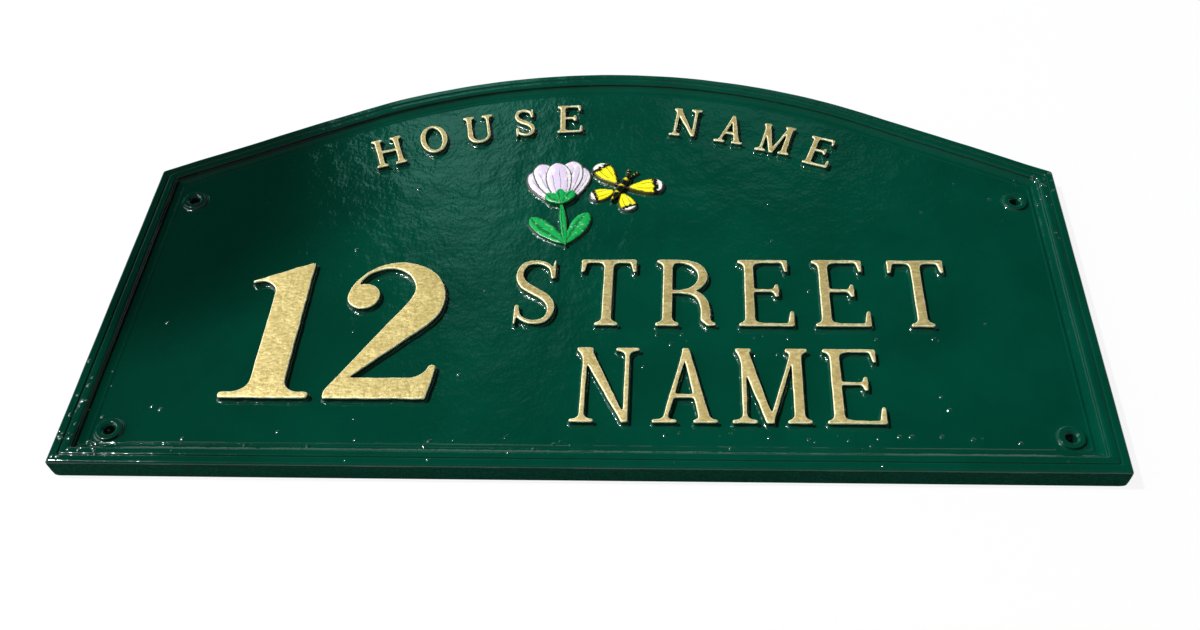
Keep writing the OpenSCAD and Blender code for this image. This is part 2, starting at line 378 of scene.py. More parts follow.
def build_plate(sizes):
    """The whole casting but its relief: back, wall, moulding, field and bosses. With it comes a mark for
    each point: whether it lies on the thinly painted wall or back, and how near the rim's outer edge"""
    outline, border, boss = Outline(sizes), border_profile(sizes), boss_profile(sizes)
    skin = Skin()
    rings = []
    for inset, z in border:
        low = max(0.0, 1 - z / sizes.rim)
        passes = round(2 + 22 * low ** 2) if inset < 2 * MM else 5
        rings.append(skin.ring(outline.ring(inset, 2.4 * MM, passes), z))
    skin.bridge(rings)
    tops, feet = [], []
    for x, y in hole_places(sizes):
        loops = [skin.ring(oval(x, y, r, r, spokes(48)), z) for r, z in boss]
        skin.bridge(loops)
        tops.append(loops[0])
        feet.append(loops[-1])

    def clear(inset, gap):
        """Test for places farther in than inset and farther than gap from every hole"""
        return lambda x, y: (outline.depth(x, y) > inset) & (hole_distance(sizes, x, y) > gap)

    inner, flare, bore = border[-1][0], boss[0][0], boss[-1][0]
    for loops, z, step, spare, inside in (
        ([rings[-1]] + tops, sizes.field, 3 * MM,
         clear(inner + 1.5 * MM, flare + 1.2 * MM), clear(inner - 0.3 * MM, flare * 0.99)),
        ([rings[0]] + feet, 0, 12 * MM, clear(4 * MM, 5 * MM), clear(-MM, bore * 0.99)),
    ):
        spots = grid_points((-outline.half, outline.foot), (outline.half, -outline.foot), step)
        skin.patch(loops, skin.ring(spots[spare(*spots.T)], z), inside, flip=z == 0)
    points = np.array(skin.points)
    x, y, z = points.T
    points[:, 2] += np.clip(z / sizes.field, 0, 1) * sizes.ripple * cast_ripple(x, y)
    skin.points = points.tolist()
    depth = outline.depth(x, y)
    back_up, wall_in, wall_up, edge_in = 0.6 * MM, 0.45 * MM, 9 * MM, 2.3 * MM
    bare = (z < back_up) | ((depth < wall_in) & (z < wall_up))
    edge = np.clip((edge_in - depth) / MM, 0, 1)
    return skin, np.stack([bare, edge, edge], axis=1)


def smooth_min(a, b, reach):
    """The lower of two fields, with the corner between them filled over reach"""
    if reach <= 0:
        return np.minimum(a, b)
    share = np.clip(0.5 + 0.5 * (b - a) / reach, 0, 1)
    return b * (1 - share) + a * share - reach * share * (1 - share)


def segment_distance(x, y, a, b):
    """Distance from points to a segment, and how far along it the nearest point lies"""
    run = b - a
    along = np.clip(((x - a[0]) * run[0] + (y - a[1]) * run[1]) / max(run @ run, 1e-18), 0, 1)
    return np.hypot(x - a[0] - along * run[0], y - a[1] - along * run[1]), along


class Drawing:
    """Plane shape on a grid, held as a field that is negative inside"""

    margin = 3 * MM
    far = 1.0
    ways = {1: "03", 2: "10", 3: "13", 4: "21", 5: "0321", 6: "20", 7: "23", 8: "32",
            9: "02", 10: "1032", 11: "12", 12: "31", 13: "01", 14: "30"}

    def __init__(self, low, high, cell):
        self.cell = cell
        self.low = np.array(low) - self.margin
        xs = np.arange(self.low[0], high[0] + self.margin, cell)
        ys = np.arange(self.low[1], high[1] + self.margin, cell)
        self.x, self.y = np.meshgrid(xs, ys)
        self.field = np.full(self.x.shape, self.far)

    def add(self, other, fillet=0.0):
        self.field = smooth_min(self.field, other, fillet)

    def disc(self, centre, radius):
        return np.hypot(self.x - centre[0], self.y - centre[1]) - radius

    def bar(self, x0, y0, x1, y1):
        """Upright rectangle"""
        return np.maximum.reduce([x0 - self.x, self.x - x1, y0 - self.y, self.y - y1])

    def stroke(self, path, widths):
        """Brush stroke along a path whose width changes from point to point"""
        path = np.array(path, float)
        widths = np.broadcast_to(widths, len(path))
        field = np.full(self.x.shape, self.far)
        for a, b, wa, wb in zip(path, path[1:], widths, widths[1:]):
            gap, along = segment_distance(self.x, self.y, a, b)
            field = np.minimum(field, gap - (wa + (wb - wa) * along) / 2)
        return field

    def polygon(self, points):
        """Any closed outline"""
        points = np.array(points, float)
        gap = np.full(self.x.shape, self.far)
        inside = np.zeros(self.x.shape, bool)
        for a, b in zip(points, np.roll(points, -1, 0)):
            gap = np.minimum(gap, segment_distance(self.x, self.y, a, b)[0])
            if a[1] != b[1]:
                cross = a[0] + (self.y - a[1]) * (b[0] - a[0]) / (b[1] - a[1])
                inside ^= ((self.y < a[1]) != (self.y < b[1])) & (self.x < cross)
        return np.where(inside, -gap, gap)

    def loops(self, field, level, spacing):
        """Closed lines where a field crosses a level, with evenly spaced points"""
        g = field - level
        inside = g < 0
        case = inside[:-1, :-1] * 1 + inside[:-1, 1:] * 2 + inside[1:, 1:] * 4 + inside[1:, :-1] * 8
        after = {}
        for i, j in zip(*np.nonzero((case > 0) & (case < 15))):
            sides = {"0": (i, j, 0), "1": (i, j + 1, 1), "2": (i + 1, j, 0), "3": (i, j, 1)}
            way = self.ways[int(case[i, j])]
            for start, end in zip(way[::2], way[1::2]):
                after[sides[start]] = sides[end]
        found = []
        while after:
            start = next(iter(after))
            spot, line = start, []
            while spot in after:
                line.append(spot)
                spot = after.pop(spot)
            if spot == start and len(line) > 5:
                found.append(evenly(np.array([self.crossing(g, *edge) for edge in line]), spacing))
        return [loop for loop in found if len(loop) > 5]

    def crossing(self, g, i, j, upright):
        """Where a grid edge is crossed"""
        other = g[i + 1, j] if upright else g[i, j + 1]
        t = g[i, j] / (g[i, j] - other)
        spot = (j, i + t) if upright else (j + t, i)
        return self.low + self.cell * np.array(spot)

    def settle(self, spacing, soft, wobble, shift):
        """Shakes the outline a little, softens its corners, and makes the field a true distance near it"""
        field = self.field + wobble * hand_wobble(self.x + shift, self.y)
        for _ in range(soft):
            field = (4 * field + np.roll(field, 1, 0) + np.roll(field, -1, 0)
                     + np.roll(field, 1, 1) + np.roll(field, -1, 1)) / 8
        near = np.abs(field) < self.margin
        x, y = self.x[near], self.y[near]
        gap = np.full(x.shape, self.far)
        for loop in self.loops(field, 0, spacing):
            for a, b in zip(loop, np.roll(loop, -1, 0)):
                gap = np.minimum(gap, segment_distance(x, y, a, b)[0])
        field[near] = np.where(field[near] < 0, -gap, gap)
        self.field = field

    def sample(self, x, y):
        """The field's value at any points"""
        u = np.clip((x - self.low[0]) / self.cell, 0, self.x.shape[1] - 1.001)
        v = np.clip((y - self.low[1]) / self.cell, 0, self.x.shape[0] - 1.001)
        i, j = v.astype(int), u.astype(int)
        fu, fv = u - j, v - i
        f = self.field
        return ((f[i, j] * (1 - fu) + f[i, j + 1] * fu) * (1 - fv)
                + (f[i + 1, j] * (1 - fu) + f[i + 1, j + 1] * fu) * fv)


WALL_OUT = np.array([-3.0, -0.55, -0.3, -0.13, -0.03, 0.06, 0.15, 0.3, 0.55, 0.9, 1.3]) * MM
WALL_UP = np.array([1.012, 1.0, 0.99, 0.95, 0.84, 0.5, 0.24, 0.12, 0.05, 0.012, -0.04])


def relief(drawing, spacing):
    """Points and faces of a raised shape: a skirt of paint, a leaning wall and a rounded top edge.
    Heights are shares of the relief's height, and with them comes each point's distance from the edge."""
    skin = Skin()
    loops = [skin.ring(loop, level) for level in WALL_OUT[:0:-1]
             for loop in drawing.loops(drawing.field, level, spacing)]
    far_corner = drawing.low + drawing.cell * np.array(drawing.x.shape[::-1])
    deep = grid_points(drawing.low, far_corner, 2.5 * spacing)
    inner = deep[drawing.sample(*deep.T) < WALL_OUT[1] - spacing]
    skin.patch(loops, skin.ring(inner, 0), lambda x, y: drawing.sample(x, y) < WALL_OUT[-1] - 0.01 * MM)
    points = np.array(skin.points)
    x, y, level = points.T
    gap = np.where(level != 0, level, drawing.sample(x, y))
    points[:, 2] = np.interp(gap, WALL_OUT, WALL_UP)
    return points, np.array(skin.faces), gap


class Relief:
    """Raised shapes gathered into one piece"""

    lump_rise, lump_in, lump_reach = 0.2 * MM, 0.5 * MM, 0.35 * MM

    def __init__(self):
        sizes, letters, _ = settings()
        self.base, self.rise, self.ripple = sizes.field, letters.relief, sizes.ripple
        self.skin = Skin()
        self.marks = []
        self.edges = []

    def place(self, shape, at, turn=0.0, marks=None):
        """Sets one shape down on the field, turned by so many degrees"""
        points, faces, gap = shape
        right, up = turned(points[:, 0], points[:, 1], turn)
        x, y = at[0] + right, at[1] + up
        bulge = np.exp(-((gap - self.lump_in) / self.lump_reach) ** 2)
        lumps = bulge * np.maximum(paint_lumps(x, y), 0) * self.lump_rise
        z = self.base + self.rise * points[:, 2] + self.ripple * cast_ripple(x, y) + lumps
        start = len(self.skin.points)
        self.skin.points.extend(zip(x.tolist(), y.tolist(), z.tolist()))
        self.skin.faces.extend(tuple(int(i) + start for i in face) for face in faces)
        self.edges.append(gap / MM)
        self.marks.append(np.zeros((len(gap), 3)) if marks is None else marks)

    def piece(self, name, material, slot):
        """Makes the object, with how far each point is from the shape's edge and how it lies in its leaf"""
        edge = np.concatenate(self.edges)
        self.skin.piece(name, material, slot, {
            "edge": np.stack([edge, edge, edge], axis=1), "leaf": np.concatenate(self.marks)})


class Pen:
    """Draws the roman letters of one height; a fillet is given as a share of the full one"""

    def __init__(self, height, thick, thin):
        self.h, self.thick, self.thin = height, thick, thin
        self.slab = 0.78 * thin
        self.serif = 0.225 * height
        self.full = 0.09 * height
        self.paper = None

    def ends(self, width):
        """Middles of a letter's first and last stem"""
        return self.serif / 2, width - self.serif / 2

    def stroke(self, path, widths, fillet=0.0):
        self.paper.add(self.paper.stroke(path, widths), fillet * self.full)

    def wedge(self, corners, fillet):
        self.paper.add(self.paper.polygon(corners), fillet * self.full)

    def level(self, x0, x1, y, width, fillet=1.0):
        """Level stroke"""
        self.stroke([(x0, y), (x1, y)], width, fillet)

    def stem(self, x, width, head=1.0, foot=1.0, low=None):
        """Upright stem with bracketed serifs; head and foot are the serifs' lengths, 0 for none"""
        base, top = self.slab / 2, self.h - self.slab / 2
        bar = self.paper.bar(x - width / 2, base if low is None else low, x + width / 2, top)
        self.paper.add(bar, self.full)
        for share, y in ((foot, base), (head, top)):
            if share:
                half = share * self.serif / 2
                self.level(x - half, x + half, y, self.slab)

    def arm(self, x0, x1, y, ticks):
        """Thin level arm whose end flares into ticks, each so far up or down"""
        side = 1 if x1 > x0 else -1
        self.level(x0, x1 - side * self.slab / 2, y, self.slab, 1 / 3)
        for tick in ticks:
            tip = y + tick * self.h
            self.wedge([(x1 - side * 0.07 * self.h, y), (x1, y), (x1 + side * 0.05 * self.slab, tip),
                        (x1 - side * 0.95 * self.slab, tip)], 1 / 4)


def letter_h(pen, w):
    left, right = pen.ends(w)
    pen.stem(left, pen.thick)
    pen.stem(right, pen.thick)
    pen.level(left, right, 0.53 * pen.h, pen.thin, 1 / 3)


def letter_o(pen, w):
    turns = np.linspace(0, 2 * math.pi, 49)
    path = oval(w / 2, pen.h / 2, (w - pen.thick) / 2, (pen.h - pen.thin) / 2, turns)
    pen.stroke(path, pen.thin + (pen.thick - pen.thin) * np.abs(np.cos(turns)) ** 1.5)


def letter_u(pen, w):
    left, right = pen.ends(w)
    bend = 0.3 * pen.h
    pen.stem(left, pen.thick, foot=0, low=bend)
    pen.stem(right, pen.thin, foot=0, low=bend)
    turns = np.linspace(math.pi, 2 * math.pi, 25)
    path = oval((left + right) / 2, bend, (right - left) / 2, bend - pen.thin / 2, turns)
    pen.stroke(path, pen.thick + (pen.thin - pen.thick) * np.minimum(1, 1.6 * np.linspace(0, 1, 25)))


def letter_s(pen, w):
    half = [(0.86, 0.76), (0.8, 0.9), (0.5, 0.97), (0.2, 0.93), (0.09, 0.75), (0.22, 0.6)]
    spine = half + [(0.5, 0.5)] + [(1 - u, 1 - v) for u, v in reversed(half)]
    path = rounded([(u * w, v * pen.h) for u, v in spine], 3)
    share = np.linspace(-1, 1, len(path))
    pen.stroke(path, pen.thin * 0.85 + 1.1 * (pen.thick - pen.thin) * np.exp(-(share / 0.45) ** 2))
    for turn in (0, 1):
        spots = [(abs(turn - u) * w, abs(turn - v) * pen.h) for u, v in ((0.89, 0.98), (0.87, 0.73))]
        pen.stroke(spots, [0.5 * pen.thin, 1.0 * pen.thin], 1 / 6)


def letter_e(pen, w):
    x = pen.ends(w)[0]
    pen.stem(x, pen.thick)
    pen.arm(x, w - 0.04 * pen.h, pen.h - pen.slab / 2, [-0.16])
    pen.arm(x, 0.74 * w, 0.53 * pen.h, [0.09, -0.09])
    pen.arm(x, w, pen.slab / 2, [0.2])


def letter_n(pen, w):
    left, right = pen.ends(w)
    pen.stem(left, pen.thin, head=0.6)
    pen.stem(right, pen.thin, foot=0)
    lean = pen.thick / 2
    pen.wedge([(left - lean * 1.6, pen.h), (left + lean * 1.1, pen.h), (right + pen.thin / 2, 0),
               (right - lean * 0.7, 0)], 1 / 3)


def letter_a(pen, w):
    left, right = pen.ends(w)
    apex = 0.5 * w
    pen.stroke([(left, pen.slab / 2), (apex, pen.h - pen.thin / 2)], pen.thin)
    pen.wedge([(apex - 0.35 * pen.thick, pen.h), (apex + 0.35 * pen.thick, pen.h),
               (right + 0.55 * pen.thick, 0), (right - 0.55 * pen.thick, 0)], 1 / 6)
    for x in (left, right):
        pen.level(x - pen.serif / 2, x + pen.serif / 2, pen.slab / 2, pen.slab, 0.7)
    slope = (apex - left) * 0.35
    pen.level(left + slope, right - slope, 0.35 * pen.h, pen.thin * 0.9, 1 / 4)


def letter_m(pen, w):
    left, right = pen.ends(w)
    middle, lean = 0.49 * w, pen.thick / 2
    pen.stem(left, pen.thin, head=0.6)
    pen.stem(right, pen.thick, head=0.9)
    pen.wedge([(left - lean * 1.5, pen.h), (left + lean * 0.9, pen.h), (middle + lean * 0.6, 0),
               (middle - lean, 0)], 1 / 4)
    path = [(middle, pen.thin * 0.6), (right - 0.3 * pen.thick, pen.h - pen.thin * 0.6)]
    pen.stroke(path, pen.thin * 0.9, 1 / 4)


def letter_t(pen, w):
    pen.stem(w / 2, pen.thick, head=0)
    y = pen.h - pen.slab / 2
    pen.level(0.1 * w, 0.9 * w, y, pen.slab)
    for end in (0, w):
        pen.arm(w / 2, end, y, [-0.17])


def letter_r(pen, w):
    x = pen.ends(w)[0]
    pen.stem(x, pen.thick)
    turns = np.linspace(math.pi / 2, -math.pi / 2, 25)
    rx, ry = 0.84 * w - x - pen.thick / 2, 0.235 * pen.h
    mid = pen.h - pen.thin / 2 - ry
    bowl = [(x, mid + ry), *oval(x + 0.35 * rx, mid, 0.65 * rx, ry, turns), (x, mid - ry)]
    swell = np.concatenate([[0], np.cos(turns) ** 1.3, [0]])
    pen.stroke(bowl, pen.thin * 0.9 + (pen.thick - pen.thin * 0.9) * swell)
    start, bend, end = np.array([(x + 0.5 * rx, mid - ry), (0.84 * w, 0.5 * pen.h), (0.8 * w, 0.1 * pen.h)])
    t = np.linspace(0, 1, 14)
    leg = [(1 - k) ** 2 * start + 2 * k * (1 - k) * bend + k * k * end for k in t]
    tail = [(0.86 * w, 0.035 * pen.h), (0.95 * w, 0.02 * pen.h)]
    widths = list(pen.thin + (pen.thick - pen.thin) * np.minimum(1, 1.5 * t))
    pen.stroke(leg + tail, widths + [0.7 * pen.thick, 0.35 * pen.thick], 1 / 4)


LETTERS = {
    "H": (letter_h, 0.69), "O": (letter_o, 0.66), "U": (letter_u, 0.69), "S": (letter_s, 0.52),
    "E": (letter_e, 0.6), "N": (letter_n, 0.69), "A": (letter_a, 0.66), "M": (letter_m, 0.8),
    "T": (letter_t, 0.64), "R": (letter_r, 0.68),
}


def letter_shapes(word, pen, cell, spacing):
    """Raised shape and width of each different letter in a word"""
    shapes = {}
    for key in sorted(set(word)):
        draw, share = LETTERS[key]
        width = share * pen.h
        d = pen.paper = Drawing((0, 0), (width, pen.h), cell)
        draw(pen, width)
        d.field = np.maximum.reduce([d.field, -d.y, d.y - pen.h])
        d.settle(spacing, 3, 0.05 * MM, 0.1 * ord(key))
        shapes[key] = (relief(d, spacing), width)
    return shapes


def row_of_letters(target, word, shapes, left, right, foot):
    """Sets a word between two ends with equal gaps"""
    widths = [shapes[c][1] for c in word]
    gap = (right - left - sum(widths)) / (len(word) - 1)
    x = left
    for c, width in zip(word, widths):
        target.place(shapes[c][0], (x, foot))
        x += width + gap


def bow_of_letters(target, words, shapes, letters, crown, pitch, word_gap):
    """Sets words along the arch, centred on the sign, each letter leaning less than the arch turns"""
    radius, lean_share = letters.bow_radius, 0.72
    steps = []
    for word in words:
        steps += [pitch] * (len(word) - 1) + [pitch + word_gap]
    at = np.concatenate([[0], np.cumsum(steps[:-1])])
    at -= at[-1] / 2
    for c, along in zip("".join(words), at):
        shape, width = shapes[c]
        angle = along / radius
        lean = -lean_share * math.degrees(angle)
        spot = np.array([radius * math.sin(angle), crown - radius + radius * math.cos(angle)])
        target.place(shape, spot - turned(width / 2, letters.bow / 2, lean), lean)


FIGURE_TALL, ONE_WIDE, TWO_WIDE = 81.6, 40.5, 48.4


def figure_one(d, k):
    """Figure 1 with a beaked flag and a bracketed foot; k scales it from millimetres"""
    left, right, serif, bracket = 12.8 * k, 28.5 * k, 3.2 * k, 7.5 * k
    beak, beak_r, top = np.array([5.2, 61.5]) * k, 7.7 * k, FIGURE_TALL * k
    flag = d.polygon([(0.2 * k, 69 * k), (right, top), (right, beak[1]), (0.2 * k, beak[1])])
    flag = np.maximum(flag, -d.disc(beak, beak_r))
    flag = np.maximum(flag, -d.bar(-5 * k, 0, beak[0], beak[1] + 0.9 * beak_r))
    d.add(flag)
    d.add(d.bar(left, 0, right, beak[1] + k))
    d.add(d.bar(0, 0, ONE_WIDE * k, serif))
    for edge, side in ((left, -1), (right, 1)):
        near, far = sorted((edge - side * k, edge + side * bracket))
        corner = d.bar(near, 0, far, serif + bracket)
        d.add(np.maximum(corner, -d.disc((edge + side * bracket, serif + bracket), bracket)))


def figure_two(d, k):
    """Figure 2: a bowl that swells on the right, a neck that thins and a spurred foot"""
    bowl, bowl_r = np.array([24, 58.4]) * k, 23.2 * k
    eye, eye_r = np.array([18.6, 63.9]) * k, 13.8 * k
    ball, ball_r = np.array([8.4, 60]) * k, 7.6 * k
    neck_in = eye + eye_r * np.array([math.cos(math.radians(30)), -0.5])
    neck_out = bowl + bowl_r * np.array([1, -1]) * math.sqrt(0.5)
    heel = neck_in[1] - neck_in[0] * math.tan(math.radians(60))
    foot_t, foot_w, spur_h, spur_r = 11.5 * k, TWO_WIDE * k, 19 * k, 9.5 * k
    spur = np.array([foot_w - 12.5 * k, foot_t + spur_r])
    ring = np.maximum(d.disc(bowl, bowl_r), -d.disc(eye, eye_r))
    hollow = d.polygon([neck_in, (0, heel), (-4 * k, heel), (-4 * k, ball[1]), (eye[0], ball[1])])
    d.add(np.maximum(ring, -hollow))
    d.add(d.disc(ball, ball_r))
    neck = d.polygon([neck_in, (0, heel), (0, 0), (foot_w - 2.6 * k, 0), (foot_w, spur_h), (spur[0], spur_h),
                      (spur[0], foot_t), (neck_out[0] - neck_out[1] + foot_t, foot_t), neck_out])
    d.add(np.maximum(neck, -d.disc(spur, spur_r)))


def drop_outline(long, wide, nip):
    """Drop-shaped outline with its point at the origin and its round end at long"""
    t = np.radians(np.arange(0, 360, 15))
    return np.stack([long * (1 - np.cos(t)) / 2, wide * np.sin(t) * np.abs(np.sin(t / 2)) ** nip], axis=1)


def leaf_shape(spacing, long, wide, nip, top, crown, groove=0.0):
    """A raised petal, leaf or wing with a crown across it, and where each point lies along and across"""
    d = Drawing((0, -wide), (long, wide), 0.5 * spacing)
    d.add(d.polygon(drop_outline(long, wide, nip)))
    d.settle(spacing, 2, 0.08 * MM, long)
    points, faces, gap = relief(d, spacing)
    x, y, z = points.T
    t = np.arccos(np.clip(1 - 2 * x / long, -1, 1))
    half_width = np.maximum(wide * np.sin(t) * np.sin(t / 2) ** nip, 0.3 * MM)
    along = np.clip(x / long, 0, 1)
    across = np.clip(y / half_width, -1.2, 1.2)
    vein = np.exp(-(y / (0.5 * MM)) ** 2) * np.clip(1.2 - along, 0, 1)
    rib = 0.5 + 0.5 * np.cos(across * 3 * math.pi)
    swell = top - crown * across ** 2 - groove * (vein + 0.5 * rib * along)
    points[:, 2] = np.where(z > 0.02, z * swell, z)
    return (points, faces, gap), np.stack([along, across, np.zeros(len(along))], axis=1)


def ornament(rows, origin, heading):
    """Leaves set down in a group that stands at origin, turned by heading. Each row holds a leaf's point
    spacing, length, half width, nip, top, crown and groove, its place in the group and its turn"""
    group = Relief()
    for spacing, long, wide, nip, top, crown, groove, at, turn in rows:
        shape, marks = leaf_shape(spacing * MM, long * MM, wide * MM, nip, top, crown, groove)
        right, up = turned(at[0] * MM, at[1] * MM, heading)
        group.place(shape, (origin[0] + right, origin[1] + up), turn + heading, marks)
    return group


PETALS = [(0.6, long, wide, nip, top, 0.2, 0.06, (0, 0), turn) for turn, long, wide, nip, top in (
    (62, 30, 8, 0.8, 0.62), (118, 30, 8, 0.8, 0.62), (74, 33, 8.5, 0.9, 0.82), (106, 33, 8.5, 0.9, 0.82),
    (90, 31, 8.5, 0.7, 1.02))]
CALYX = [(0.5, 11, 4, 1, 1.1, 0.2, 0, (0, 0), turn) for turn in (52, 128, 90)]
STALK = [(0.5, 31, 2.0, 0.25, 0.82, 0.25, 0, (0, -28.5), 90)]
LEAVES = [(0.6, long, 5.5, 0.6, 0.72, 0.2, 0.08, (0, -27), turn) for turn, long in ((128, 26), (58, 24))]
WINGS = [(0.5, long, wide, nip, top, 0.12, 0.05, at, turn) for long, wide, nip, top, at, turn in (
    (15, 6.2, 1.3, 0.62, (0.8, -1), -44), (15, 6.2, 1.3, 0.62, (-0.8, -1), 224),
    (21, 8, 1.7, 0.85, (0.8, 1), 30), (21, 8, 1.7, 0.85, (-0.8, 1), 150))]
BODY = [(0.4, 21, 2.3, 0.4, 1.15, 0.3, 0, (0, -10), 90)]
FEELERS = [(0.4, 8, 0.75, 0.2, 0.6, 0.1, 0, (0, 8.5), turn) for turn in (68, 112)]


def maths(operation, swap=False):
    """A method that adds a Math node to a socket and the other values"""
    def method(self, *others):
        values = (*others, self) if swap else (self, *others)
        return self.nodes.add("ShaderNodeMath", {"operation": operation}, dict(enumerate(values)))

    return method


class Wire:
    """A socket of one node tree; arithmetic on it adds Math nodes"""

    def __init__(self, nodes, socket):
        self.nodes = nodes
        self.socket = socket

    __add__ = __radd__ = maths("ADD")
    __sub__ = maths("SUBTRACT")
    __rsub__ = maths("SUBTRACT", swap=True)
    __mul__ = __rmul__ = maths("MULTIPLY")
    __truediv__ = maths("DIVIDE")
    __pow__ = maths("POWER")
    __abs__ = maths("ABSOLUTE")
    least = maths("MINIMUM")
    most = maths("MAXIMUM")
    wave = maths("SINE")

    def out(self, number):
        """Another output of the same node"""
        return Wire(self.nodes, self.socket.node.outputs[number])

    def ramp(self, low, high):
        """0 below low, 1 above high and smooth between"""
        return self.nodes.add(
            "ShaderNodeMapRange", {"interpolation_type": "SMOOTHSTEP"},
            {"Value": self, "From Min": low, "From Max": high, "To Min": 0.0, "To Max": 1.0},
        )

    def band(self, low, low_end, high, high_end):
        """1 between two slopes, 0 outside them"""
        return self.ramp(low, low_end) * (1 - self.ramp(high, high_end))


class Nodes:
    """The nodes of one new material, or of a world"""

    def __init__(self, name, owner=None):
        self.material = owner or bpy.data.materials.new(name)
        self.material.use_nodes = True
        self.tree = self.material.node_tree
        self.tree.nodes.clear()

    def add(self, kind, settings=None, sockets=None, out=0):
        """Adds a node: its settings first, then the values or links of its sockets"""
        node = self.tree.nodes.new(kind)
        for name, value in (settings or {}).items():
            setattr(node, name, value)
        for name, value in (sockets or {}).items():
            socket = node.inputs[name]
            if isinstance(value, Wire):
                self.tree.links.new(value.socket, socket)
            else:
                socket.default_value = value
        return Wire(self, node.outputs[out]) if node.outputs else None

    def mix(self, share, a, b):
        """Mixes two colours"""
        a, b = (v if isinstance(v, Wire) else (*v, 1.0) for v in (a, b))
        return self.add("ShaderNodeMix", {"data_type": "RGBA"}, {0: share, 6: a, 7: b}, 2)

    def place(self, stretch=(1, 1, 1)):
        """The point being shaded, in the sign's own frame"""
        spot = self.add("ShaderNodeTexCoord", out=3)
        return self.add("ShaderNodeVectorMath", {"operation": "MULTIPLY"}, {0: spot, 1: stretch})

    def part(self, vector, number=0):
        """x, y or z of a vector"""
        return self.add("ShaderNodeSeparateXYZ", None, {"Vector": vector}, number)

    def mark(self, name, number=0):
        """A number that the mesh carries at each point"""
        return self.part(self.add("ShaderNodeAttribute", {"attribute_name": name}, None, 1), number)

    def noise(self, size, detail=2.0, stretch=(1, 1, 1), rough=0.5):
        """Noise from 0 to 1 whose lumps are about size across"""
        return self.add("ShaderNodeTexNoise", None, {
            "Vector": self.place(stretch), "Scale": 1 / size, "Detail": detail, "Roughness": rough})

    def drift(self, size, detail, reach, stretch=(1, 1, 1)):
        """Noise about zero, half of reach to either side"""
        return (self.noise(size, detail, stretch) - 0.5) * reach

    def bump(self, height, depth, normal=None):
        """Normal of a surface whose height runs over depth metres"""
        sockets = {"Height": height, "Distance": depth, "Strength": 1.0}
        if normal is not None:
            sockets["Normal"] = normal
        return self.add("ShaderNodeBump", None, sockets)

    def principled(self, **sockets):
        """Surface shader of a paint, with its sockets named in lower case"""
        named = {"Metallic": 0.0, "IOR": 1.45}
        for key, value in sockets.items():
            named[key.replace("_", " ").title().replace("Ior", "IOR")] = value
        return self.add("ShaderNodeBsdfPrincipled", None, named)

    def raised(self, low, high, size, reach):
        """1 above a ragged line round the raised work, 0 below it; low and high are shares of its height"""
        sizes, letters, _ = settings()
        height = self.part(self.place(), 2) + self.drift(size, 2.0, reach)
        return height.ramp(sizes.field + low * letters.relief, sizes.field + high * letters.relief)

    def finish(self, surface):
        """Ends the material with its surface"""
        self.add("ShaderNodeOutputMaterial", None, {"Surface": surface})
        return self.material


def shade(paint, share):
    """A paint made darker or paler, alike or by one share for each of its parts"""
    return tuple(float(v) for v in np.array(paint) * share)


def enamel_skin(n):
    """Bump of sprayed enamel: orange peel over a softer sag, both weaker on the rim's outer edge"""
    share = 1 - 0.55 * n.mark("zone", 1)
    sag = n.bump((n.noise(8 * MM, 1.0) - 0.5) * share, 0.25 * MM)
    return n.bump((n.noise(2.1 * MM, 1.2, (1.15, 0.9, 1)) - 0.5) * share, 0.1 * MM, sag)


def enamel_colour(n, paint):
    """Deep green, with painted shade that darkens it in a soft patch round the left shoulder and along the
    left side
    """
    x = n.part(n.place())
    from_shoulder = ((x + 0.25) ** 2 + (x.out(1) - 0.04) ** 2) ** 0.5
    # Painted shade: how much the green is darkened, most round the left shoulder and over the left side
    thick = 0.9 - from_shoulder.ramp(0.08, 0.17) * 0.9
    thick = thick.most(0.38 - x.ramp(-0.2, -0.02) * 0.38)
    tone = n.mix(n.noise(45 * MM, 3.0).ramp(0.3, 0.7), shade(paint, 0.88), shade(paint, 1.1))
    # The painted shade takes the green down to a fifth of its tone
    tone = n.mix(thick, tone, shade(paint, 0.2))
    return n.mix(n.noise(1.1 * MM).ramp(0.66, 0.78) * 0.2, tone, shade(paint, 1.4))


def enamel_material(paint):
    """Gloss enamel on the face; thin rough paint on the wall and the back"""
    n = Nodes("gloss_enamel")
    gloss = n.principled(base_color=enamel_colour(n, paint), roughness=0.07 + 0.05 * n.noise(30 * MM),
                         normal=enamel_skin(n))
    sand = n.noise(0.9 * MM, 3.0)
    rough = n.principled(base_color=n.mix(sand.ramp(0.35, 0.7), shade(paint, 0.5), paint),
                         roughness=0.5 + 0.3 * sand, specular_ior_level=0.02,
                         normal=n.bump(sand, 0.15 * MM, n.bump(n.noise(3.5 * MM), 0.3 * MM)))
    return n.finish(n.add("ShaderNodeMixShader", None, {0: n.mark("zone"), 1: gloss, 2: rough}))


def bead_material(paint):
    """Glassy enamel of the beads"""
    n = Nodes("glassy_enamel")
    return n.finish(n.principled(
        base_color=enamel_colour(n, paint), roughness=0.06 + 0.06 * n.noise(1.5 * MM),
        specular_ior_level=1.0, coat_weight=1.0, coat_roughness=0.06, normal=enamel_skin(n)))


